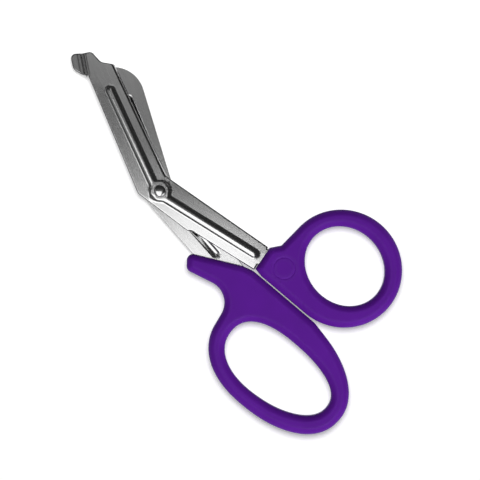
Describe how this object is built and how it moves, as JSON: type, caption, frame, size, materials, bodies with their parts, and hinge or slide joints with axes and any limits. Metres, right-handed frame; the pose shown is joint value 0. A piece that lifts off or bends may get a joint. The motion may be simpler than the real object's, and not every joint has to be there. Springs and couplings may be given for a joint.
{
  "type": "angled utility shears",
  "caption": "Hand shears with angled pressed-steel blades, a blunt foot on the lower blade, a riveted pivot and moulded plastic handles with a thumb ring and a long finger loop.",
  "frame": {"origin": "on the rivet's axis, at the flat face of the rivet's tail", "axes": "+Z along the rivet towards its domed head, -Y along the parting line of the closed handles, +X towards the thumb handle"},
  "size_m": [0.0952, 0.1842, 0.009],
  "materials": {
    "blade_steel": "brushed",
    "rivet_steel": "polished",
    "handle_plastic": "satin moulded"
  },
  "bodies": {
    "finger_side": {"upper_blade": "blade_steel", "pivot_rivet": "rivet_steel", "finger_handle": "handle_plastic"},
    "thumb_side": {"lower_blade": "blade_steel", "thumb_handle": "handle_plastic"}
  },
  "joints": [
    {"name": "pivot_hinge", "type": "hinge", "parent": "finger_side", "child": "thumb_side", "pos_m": [0, 0, 0.0033], "axis": [0, 0, 1], "range_deg": [0, 130]}
  ]
}
